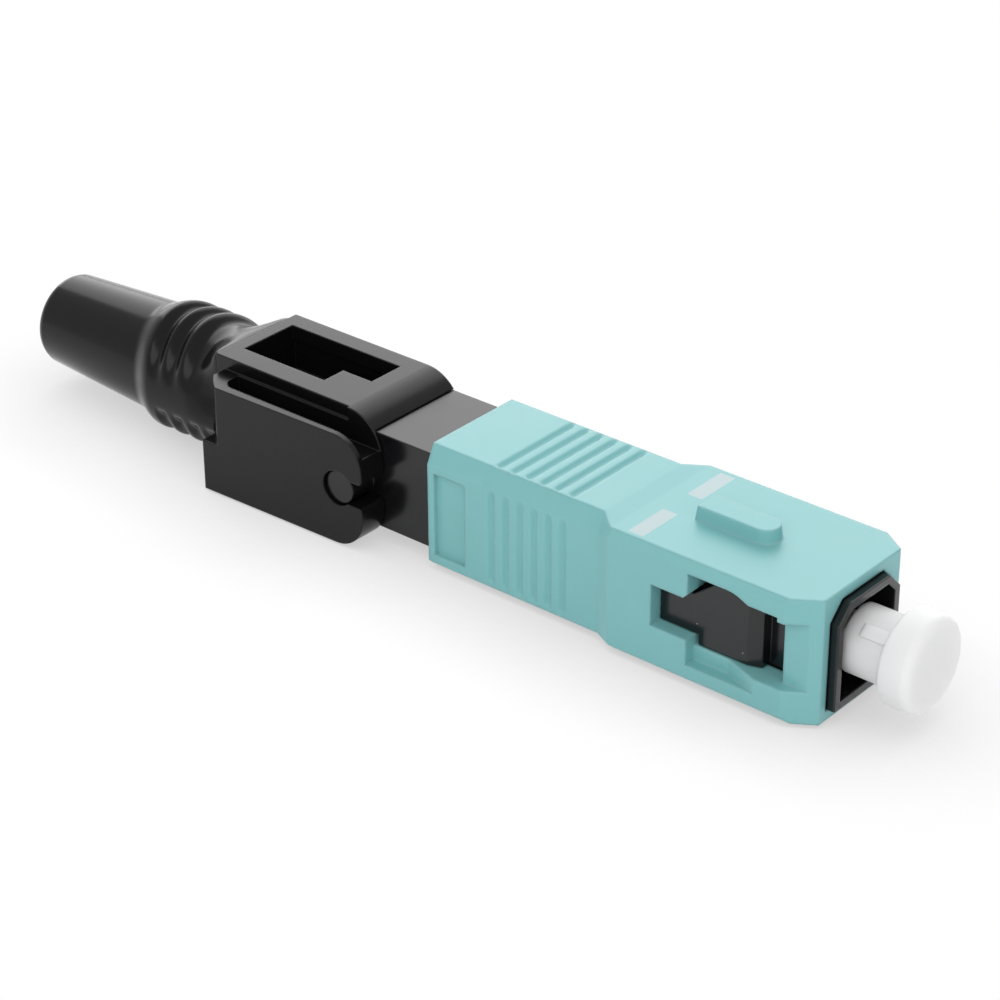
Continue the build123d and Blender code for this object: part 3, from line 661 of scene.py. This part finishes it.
def put_mesh(name, points, faces):
    """A smooth-shaded object at the origin from arrays of points and quads."""
    mesh = bpy.data.meshes.new(name)
    mesh.vertices.add(len(points))
    mesh.vertices.foreach_set("co", points.astype(np.float32).ravel())
    mesh.loops.add(faces.size)
    mesh.loops.foreach_set("vertex_index", faces.astype(np.int32).ravel())
    mesh.polygons.add(len(faces))
    mesh.polygons.foreach_set("loop_start", np.arange(0, faces.size, 4, dtype=np.int32))
    shade_smooth(mesh)
    mesh.update(calc_edges=True)
    mesh.validate()
    return link_object(name, mesh)


def merged_form(solid):
    """A form with a solid's shape, whose loose triangles are joined at their corners."""
    form = bmesh.new()
    form.from_mesh(solid.data)
    bmesh.ops.remove_doubles(form, verts=form.verts, dist=MERGE_DISTANCE)
    return form


def corners_with_spots(mesh):
    """Each face's direction and corners, with their places in thousandths of a millimetre."""
    for face in mesh.polygons:
        for corner in face.loop_indices:
            place = mesh.vertices[mesh.loops[corner].vertex_index].co
            yield face.normal, corner, tuple(round(1000.0 * c / MM) for c in place)


def keep_solid_normals(mesh, solid):
    """Take over the solid's exact corner directions where a copy shares its corners."""
    known = {}
    for flat, corner, spot in corners_with_spots(solid):
        exact = solid.corner_normals[corner].vector.copy()
        known.setdefault(spot, []).append((flat.copy(), exact))
    normals = [item.vector.copy() for item in mesh.corner_normals]
    for flat, corner, spot in corners_with_spots(mesh):
        if spot in known:
            match = max(known[spot], key=lambda pair: pair[0].dot(flat))
            if match[0].dot(flat) > SAME_DIRECTION:
                normals[corner] = match[1]
    mesh.normals_split_custom_set(normals)


def put_form(name, form, solid, sharp):
    """A form as an object, with the solid's corner directions.

    Edges that turn by more than the sharp angle, in degrees, stay sharp.
    """
    mesh = bpy.data.meshes.new(name)
    form.to_mesh(mesh)
    form.free()
    shade_smooth(mesh)
    mesh.set_sharp_from_angle(angle=np.radians(sharp))
    keep_solid_normals(mesh, solid.data)
    return link_object(name, mesh)


# Grip of the housing

# Half of the housing's section at the grip, from below, as Y and Z in millimetres
GRIP_HALF = ((3.6, -3.7), (3.9, -3.4), (3.9, 2.65), (3.35, 3.8))
# A side of the section that is no longer than this is a chamfer and has no grooves
CHAMFER_MOST = 3 * MM
# Points along the grip, and across a grooved side and a chamfer
GRIP_ROWS = 200
SIDE_COLUMNS = 40
CHAMFER_COLUMNS = 6
# The solid's grooves reach less deep than this below its skin, and its inner walls deeper
SKIN_THICKNESS = 0.24 * MM
# Turn of the housing's sharp edges, in degrees
HOUSING_SHARP = 18


def grip_corners():
    """Corners of the housing's section at the grip, round the axis, as Y and Z."""
    other_half = tuple((-y, z) for y, z in reversed(GRIP_HALF))
    return np.array(GRIP_HALF + other_half) * MM


def grip_side(shape, start, end):
    """One side of the grip's skin between two corners.

    Depth is the product of two parts. Along X it falls from the groove's full depth at its
    middle to nothing at its edges, by a smooth step. Along the side it rises from zero at
    both corners over the fade, by another. A chamfer is too narrow for grooves and stays flat.
    """
    width = np.linalg.norm(end - start)
    side = (end - start) / width
    inward = (-side[1], side[0])
    grooved = width > CHAMFER_MOST
    columns = SIDE_COLUMNS if grooved else CHAMFER_COLUMNS
    x = np.linspace(shape.grip_rear, shape.grip_front, GRIP_ROWS)[:, None]
    along = np.linspace(0.0, width, columns)[None, :]
    away = shape.groove_pitch * from_nearest(
        x, shape.groove_first, shape.groove_pitch, shape.groove_count
    )
    profile = 1.0 - step(0.0, 0.5 * shape.groove_width, away)
    fade = step(0.0, shape.groove_fade, np.minimum(along, width - along))
    deep = fade * grooved * shape.groove_depth * profile
    y, z = (start[i] + side[i] * along + inward[i] * deep for i in (0, 1))
    points = np.stack([x + 0.0 * along, y, z], axis=-1)
    # The other way round, so that the quads face outwards
    faces = grid_faces(GRIP_ROWS, columns, closed=False)[:, (0, 3, 2, 1)]
    return points.reshape(-1, 3), faces


def grip_skin(shape):
    """The eight sides of the grip's skin as one set of points and quads."""
    corners = grip_corners()
    points, faces, used = [], [], 0
    for start, end in zip(corners, np.roll(corners, -1, axis=0)):
        part, quads = grip_side(shape, start, end)
        points.append(part)
        faces.append(quads + used)
        used += len(part)
    return np.concatenate(points), np.concatenate(faces)


def outside_section(y, z):
    """How far a point lies outside the grip's section.

    It is the largest of the point's distances beyond the eight sides, all negative inside.
    """
    corners = grip_corners()
    sides = np.roll(corners, -1, axis=0) - corners
    sides = sides / np.linalg.norm(sides, axis=1)[:, None]
    return np.max(sides[:, 1] * (y - corners[:, 0]) - sides[:, 0] * (z - corners[:, 1]))


def on_grip_skin(shape, face):
    """Whether a face of the solid belongs to the outer skin of its grip."""
    middle = face.calc_center_median()
    at_grip = shape.grip_rear < middle.x < shape.grip_front
    return at_grip and outside_section(middle.y, middle.z) > -SKIN_THICKNESS


def housing_with_skin(shape, solid):
    """A copy of the housing whose grooved outer skin gives way to the grip's own skin.

    The copy is cut across at both ends of the grip, so that the skin between them can go.
    """
    form = merged_form(solid)
    for x in (shape.grip_rear, shape.grip_front):
        bmesh.ops.bisect_plane(
            form, geom=form.verts[:] + form.edges[:] + form.faces[:], dist=CUT_DISTANCE,
            plane_co=(x, 0.0, 0.0), plane_no=(1.0, 0.0, 0.0),
        )
    outer = [face for face in form.faces if on_grip_skin(shape, face)]
    bmesh.ops.delete(form, geom=outer, context="FACES")
    skin = put_mesh("grip_skin", *grip_skin(shape))
    form.from_mesh(skin.data)
    bpy.data.objects.remove(skin)
    return put_form("housing_surface", form, solid, HOUSING_SHARP)


# Ferrule spring

# Turn of the coil's sharp edges, in degrees
SPRING_SHARP = 50


def squeezed_spring(solid):
    """A merged copy of the ferrule's spring."""
    return put_form("spring_coil", merged_form(solid), solid, SPRING_SHARP)


# Strain relief boot

# Height angles, in degrees, over which the grooves, the pockets' lower and upper ends and
# the box at the cover come in or go out
GROOVES_IN = (4, 52)
POCKETS_IN = (-80, -62)
POCKETS_OUT = (-32, -12)
BOX_IN = (-14, 16)
# Distances from a pocket's middle over which it runs out, and the length of the waist's slope
POCKET_EDGE = (0.00016, 0.0006)
WAIST_SLOPE = 0.0008
# The cover's box that the boot grows into: its half width, its lower and its upper side, and
# how far behind the cover it begins and is complete
BOX_HALF_WIDTH = 0.0033
BOX_LOW, BOX_HIGH = -0.0034, 0.00392
BOX_BEGINS, BOX_COMPLETE = 0.0024, 0.0001
# Powers of a superellipse that is a circle and of one that is nearly a box
ROUND_POWER, BOX_POWER = 2.0, 12.0
# Points along the outside and round the lip
OUTSIDE_ROWS = 300
LIP_ROWS = 10
# The bore's chamfer along and across, and a ring of points half way along it
CHAMFER_ALONG, CHAMFER_ACROSS = 0.0002, 0.00015
BORE_MIDDLE = -0.052


def height_angle(angle):
    """Height angle of a direction about the axis: the arcsine of its angle's sine."""
    return np.arcsin(np.clip(np.sin(angle), -1.0, 1.0))


def height_step(span, height):
    """Smooth step over a span of height angles in degrees."""
    low, high = np.radians(span)
    return step(low, high, height)


def boot_radius(shape, x, angle):
    """Outer radius of the boot at x and at an angle about the axis.

    The rings lean: a point's place among them is x less a lean times the squared cosine of
    the angle. The tube's radius grows evenly from tail to root and swells in an S-curve to
    the ribbed part. Above the flanks, grooves are cut by raised cosines along x, and a waist
    follows them. Below, pockets are soft dips. Grooves and pockets fade out with the
    height angle, which leaves a smooth spine on each flank.
    """
    place = x - shape.lean * np.cos(angle) ** 2
    along = (x - shape.tail) / (shape.root - shape.tail)
    tube = shape.tail_radius + (shape.root_radius - shape.tail_radius) * along
    swell = step(shape.root, shape.ribs_rear, place)
    outer = tube + (shape.rib_radius - tube) * swell
    height = height_angle(angle)
    above = height_step(GROOVES_IN, height)
    waist = step(shape.ribs_front, shape.ribs_front + WAIST_SLOPE, place) * above
    outer = outer - (shape.rib_radius - shape.neck_radius) * waist
    away = from_nearest(place, shape.ring_first, shape.ring_pitch, shape.ring_count)
    groove = 0.5 + 0.5 * np.cos(2.0 * np.pi * np.minimum(away, 0.5))
    outer = outer - shape.ring_depth * groove * above
    offset = shape.pocket_pitch * from_nearest(
        place, shape.pocket_first, shape.pocket_pitch, shape.pocket_count
    )
    dip = 1.0 - step(*POCKET_EDGE, offset)
    band = (1.0 - height_step(POCKETS_OUT, height)) * height_step(POCKETS_IN, height)
    return outer - shape.pocket_depth * dip * band


def boot_section(shape, x, angle, radius):
    """Y and Z of the outer surface: the circle, whose upper part becomes the cover's box.

    The box is a superellipse whose power rises towards the cover.
    """
    box = step(shape.neck - BOX_BEGINS, shape.neck - BOX_COMPLETE, x)
    box = box * height_step(BOX_IN, height_angle(angle))
    middle = 0.5 * (BOX_LOW + BOX_HIGH)
    half_height = 0.5 * (BOX_HIGH - BOX_LOW)
    power = ROUND_POWER + (BOX_POWER - ROUND_POWER) * box
    across = np.abs(np.cos(angle)) / BOX_HALF_WIDTH
    upward = np.abs(np.sin(angle)) / half_height
    square = np.power(np.power(across, power) + np.power(upward, power), -1.0 / power)
    reach = radius + (square - radius) * box
    return reach * np.cos(angle), reach * np.sin(angle) + middle * box


def boot_surface(shape):
    """The boot: a profile carried round the axis and closed through the cable's bore.

    The first parameter runs backwards along the outside, round the lip in a quarter circle
    and forwards along the bore. The second is the angle about the axis.
    """
    angle = np.linspace(0.0, 2.0 * np.pi, shape.around, endpoint=False)[None, :]
    x = np.linspace(shape.neck, shape.tail + shape.lip, OUTSIDE_ROWS)[:, None]
    y_out, z_out = boot_section(shape, x, angle, boot_radius(shape, x, angle))
    turn = np.linspace(0.0, 0.5 * np.pi, LIP_ROWS)[1:]
    lip_x = shape.tail + shape.lip - shape.lip * np.sin(turn)
    lip_r = shape.tail_radius - shape.lip * (1.0 - np.cos(turn))
    bore_x = [shape.tail, shape.tail + CHAMFER_ALONG, BORE_MIDDLE, shape.neck]
    bore_r = [shape.bore_radius + CHAMFER_ACROSS] + [shape.bore_radius] * 3
    rings_x = np.concatenate([lip_x, bore_x])[:, None]
    rings_r = np.concatenate([lip_r, bore_r])[:, None]
    y = np.concatenate([y_out, rings_r * np.cos(angle)])
    z = np.concatenate([z_out, rings_r * np.sin(angle)])
    xs = np.repeat(np.concatenate([x, rings_x]), angle.size, axis=1)
    points = np.stack([xs, y, z], axis=-1).reshape(-1, 3)
    return points, grid_faces(len(xs), angle.size, closed=True)


# Studio

# Where the camera stands, fitted to the photograph, and what the lamps face
CAMERA_PLACE = Vector((0.06929973, -0.11034166, 0.08037325))
PART_MIDDLE = Vector((-0.028, 0.0, 0.0))
# Each sheet of light: its name, its setting, where it stands, how far off, and its two sides
SHEETS = (
    ("back_sheet", "back_light", (-0.50, 0.66, 0.52), 0.55, (0.75, 0.55)),
    ("key_sheet", "key_light", (0.22, -0.74, 0.62), 0.6, (0.45, 0.45)),
    ("side_sheet", "side_light", (0.85, -0.15, 0.5), 0.6, (0.35, 0.35)),
)
# Half of the floor's side, and the colour of its shade
FLOOR_HALF = 0.35
SHADE = (0.12, 0.12, 0.12, 1.0)


def place_camera(look):
    """The camera at the photograph's angle.

    Back points from the part to the camera, lifted by the elevation and turned round by the
    azimuth. Right is level and square to it, and up is square to both. The roll turns the
    camera about back.
    """
    azimuth, elevation = look.azimuth, look.elevation
    level_reach = np.cos(elevation)
    back = Vector(
        (np.sin(azimuth) * level_reach, -np.cos(azimuth) * level_reach, np.sin(elevation))
    )
    right = Vector((np.cos(azimuth), np.sin(azimuth), 0.0))
    axes = Matrix((right, back.cross(right), back)).transposed()
    turned = axes @ Matrix.Rotation(look.roll, 3, "Z")
    lens = bpy.data.cameras.new("camera")
    lens.lens = look.focal
    lens.sensor_width = 36.0
    lens.clip_start, lens.clip_end = 0.005, 10.0
    camera = link_object("camera", lens)
    camera.matrix_world = Matrix.Translation(CAMERA_PLACE) @ turned.to_4x4()
    bpy.context.scene.camera = camera


def sheet_light(name, direction, distance, size, strength):
    """A rectangular lamp that faces the part.

    Its power is pi times its brightness times its area.
    """
    lamp = bpy.data.lights.new(name, "AREA")
    lamp.shape = "RECTANGLE"
    lamp.size, lamp.size_y = size
    lamp.energy = strength * np.pi * size[0] * size[1]
    away = Vector(direction).normalized()
    turned = away.to_track_quat("Z", "Y").to_matrix().to_4x4()
    holder = link_object(name, lamp)
    holder.matrix_world = Matrix.Translation(PART_MIDDLE + away * distance) @ turned


def seen_directly(tree):
    """A mask that is 1 for rays from the camera, mirrors and glass, and 0 for the rest."""
    path = tree.nodes.new("ShaderNodeLightPath").outputs
    mirrored = calc(tree, "MAXIMUM", path["Is Glossy Ray"], path["Is Transmission Ray"])
    return calc(tree, "MAXIMUM", path["Is Camera Ray"], mirrored)


def pale_floor(look):
    """Pale floor that lights the part from below, and glows a little in mirrors and glass.

    To the camera it is a clear sheet with the part's shade on it, so that an open cover which
    hangs below it is still seen. From above, the shade's cover is the depth times the share
    of the space within its reach that the part closes off. From below there is none.
    """
    material, tree, shader = start_material(
        "Pale Floor", Roughness=0.75, Base_Color=tuple(look.floor) + (1.0,),
        Specular_IOR_Level=0.1, Emission_Color=WHITE,
    )
    glow = calc(tree, "MULTIPLY", seen_directly(tree), look.floor_lift)
    join(tree, glow, shader.inputs["Emission Strength"])
    geometry = tree.nodes.new("ShaderNodeNewGeometry")
    above = calc(tree, "SUBTRACT", 1.0, geometry.outputs["Backfacing"])
    near = add(tree, "ShaderNodeAmbientOcclusion", samples=12, Distance=look.shadow_reach)
    closed_off = calc(tree, "SUBTRACT", 1.0, near.outputs["AO"])
    cover = calc(tree, "MULTIPLY", calc(tree, "MULTIPLY", closed_off, look.shadow_depth), above)
    clear = tree.nodes.new("ShaderNodeBsdfTransparent")
    dark = add(tree, "ShaderNodeEmission", Color=SHADE)
    sheet = mix_shaders(tree, cover, clear.outputs[0], dark.outputs[0])
    seen = tree.nodes.new("ShaderNodeLightPath").outputs["Is Camera Ray"]
    surface = mix_shaders(tree, seen, shader.outputs[0], sheet)
    join(tree, surface, tree.nodes["Material Output"].inputs["Surface"])
    return material


def lay_floor(look):
    """A square floor at the height of the part's lowest point."""
    low, side = SOLID_BOX[0].z, FLOOR_HALF
    corners = np.array(
        [[-side, -side, low], [side, -side, low], [side, side, low], [-side, side, low]]
    )
    floor = put_mesh("floor", corners, np.array([[0, 1, 2, 3]]))
    floor.data.materials.append(pale_floor(look))


def light_room(look):
    """A pale room all round, which the camera, mirrors and glass see as white."""
    world = bpy.data.worlds.new("Pale Room")
    bpy.context.scene.world = world
    world.use_nodes = True
    tree = world.node_tree
    lit = tree.nodes["Background"]
    set_inputs(lit, {"Color": WHITE, "Strength": look.room})
    white = add(tree, "ShaderNodeBackground", Color=WHITE, Strength=1.0)
    room = mix_shaders(tree, seen_directly(tree), lit.outputs[0], white.outputs[0])
    join(tree, room, tree.nodes["World Output"].inputs["Surface"])


# Operators


class MakeStudio(bpy.types.Operator):
    """Set the camera, the lamps, the pale room and the floor"""

    bl_idname = "fibre_connector.studio"
    bl_label = "Studio"

    def execute(self, context):
        look = context.scene.fibre_connector.studio
        context.scene.view_settings.view_transform = "Standard"
        place_camera(look)
        for name, setting, direction, distance, size in SHEETS:
            sheet_light(name, direction, distance, size, getattr(look, setting))
        lay_floor(look)
        light_room(look)
        return {"FINISHED"}


class MakeHousing(bpy.types.Operator):
    """Give the aqua outer housing its grip's skin, its grain and the printed bars"""

    bl_idname = "fibre_connector.housing"
    bl_label = "Outer Housing"

    def execute(self, context):
        look = context.scene.fibre_connector.housing
        piece = housing_with_skin(look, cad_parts["outer_housing"])
        piece.data.materials.append(aqua_plastic(look))
        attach(piece, "housing")
        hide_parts("outer_housing")
        return {"FINISHED"}


class MakeMouldings(bpy.types.Operator):
    """Finish the black plug frame, rear body, rear cover and cable clamp"""

    bl_idname = "fibre_connector.mouldings"
    bl_label = "Black Mouldings"

    def execute(self, context):
        look = context.scene.fibre_connector.mouldings
        rough, cover_rough, clamp_rough = look.roughness, look.roughness + 0.04, 0.45
        finishes = {
            "plug_frame": black_plastic(
                "Black Frame", look.frame_plastic, rough, dusty=0.8, shine=0.42
            ),
            "rear_body": black_plastic("Black Body", look.body_plastic, rough, dusty=0.15),
            "rear_cover": black_plastic(
                "Black Cover", look.cover_plastic, cover_rough, dusty=0.1, shine=0.2
            ),
            "cable_clamp": black_plastic(
                "Black Clamp", look.clamp_plastic, clamp_rough, dusty=0.1
            ),
        }
        for name, finish in finishes.items():
            dress(name, finish)
        return {"FINISHED"}


class MakeBoot(bpy.types.Operator):
    """Build the ribbed strain relief boot and its glossy finish"""

    bl_idname = "fibre_connector.boot"
    bl_label = "Strain Relief Boot"

    def execute(self, context):
        settings = context.scene.fibre_connector
        look = settings.mouldings
        piece = put_mesh("boot_surface", *boot_surface(settings.boot))
        finish = black_plastic(
            "Black Boot", look.boot_plastic, look.roughness, dusty=0.1, wave=2.0, shine=0.17
        )
        piece.data.materials.append(finish)
        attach(piece, "cover")
        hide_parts("strain_relief_boot")
        return {"FINISHED"}


class MakeCap(bpy.types.Operator):
    """Finish the milky dust cap"""

    bl_idname = "fibre_connector.cap"
    bl_label = "Dust Cap"

    def execute(self, context):
        dress("dust_cap", milky_plastic(context.scene.fibre_connector.cap))
        return {"FINISHED"}


class MakeInnerPieces(bpy.types.Operator):
    """Finish the ferrule, the carrier and the splice, and make the spring follow the ferrule"""

    bl_idname = "fibre_connector.inner_pieces"
    bl_label = "Ferrule and Splice"

    def execute(self, context):
        look = context.scene.fibre_connector.inner
        steel = lined_metal("Spring Steel", look.steel, roughness=0.28, scale=12000.0)
        alloy = lined_metal("Splice Alloy", look.alloy, roughness=0.35, scale=9000.0)
        natural = natural_plastic("Natural Moulding", look.natural, roughness=0.4)
        dress("ferrule", natural_plastic("Ground Ceramic", look.ceramic, roughness=0.16))
        dress("fibre_stub", clear_glass())
        for name in ("splice_clip", "spring_washer"):
            dress(name, steel)
        coil = squeezed_spring(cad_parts["ferrule_spring"])
        coil.data.materials.append(steel)
        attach(coil, "plug")
        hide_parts("ferrule_spring")
        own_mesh(coil)
        for name in ("splice_base", "stub_lid", "field_lid"):
            dress(name, alloy)
        for name in ("splice_carrier", "fibre_guide"):
            dress(name, natural)
        return {"FINISHED"}


class ConnectorPanel(bpy.types.Panel):
    """Buttons and settings of the fibre connector"""

    bl_idname = "VIEW3D_PT_fibre_connector"
    bl_label = "Fibre Connector"
    bl_space_type = "VIEW_3D"
    bl_region_type = "UI"
    bl_category = "Fibre Connector"

    def draw(self, context):
        for operator in OPERATORS:
            self.layout.operator(operator.bl_idname)
        settings = context.scene.fibre_connector
        for name, group in SETTINGS.items():
            box = self.layout.box()
            box.label(text=name.title())
            for key in group.__annotations__:
                box.prop(getattr(settings, name), key)


OPERATORS = (MakeStudio, MakeHousing, MakeMouldings, MakeBoot, MakeCap, MakeInnerPieces)
CLASSES = tuple(SETTINGS.values()) + (ConnectorSettings,) + OPERATORS + (ConnectorPanel,)


def register():
    """Register every class, and hang the settings on the scene."""
    for item in CLASSES:
        bpy.utils.register_class(item)
    bpy.types.Scene.fibre_connector = PointerProperty(type=ConnectorSettings)


def unregister():
    """Take the settings and the classes away again."""
    del bpy.types.Scene.fibre_connector
    for item in reversed(CLASSES):
        bpy.utils.unregister_class(item)


def main():
    """Register the add-on and make every piece in order."""
    register()
    bpy.ops.fibre_connector.studio()
    bpy.ops.fibre_connector.housing()
    bpy.ops.fibre_connector.mouldings()
    bpy.ops.fibre_connector.boot()
    bpy.ops.fibre_connector.cap()
    bpy.ops.fibre_connector.inner_pieces()


if __name__ == "__main__":
    main()
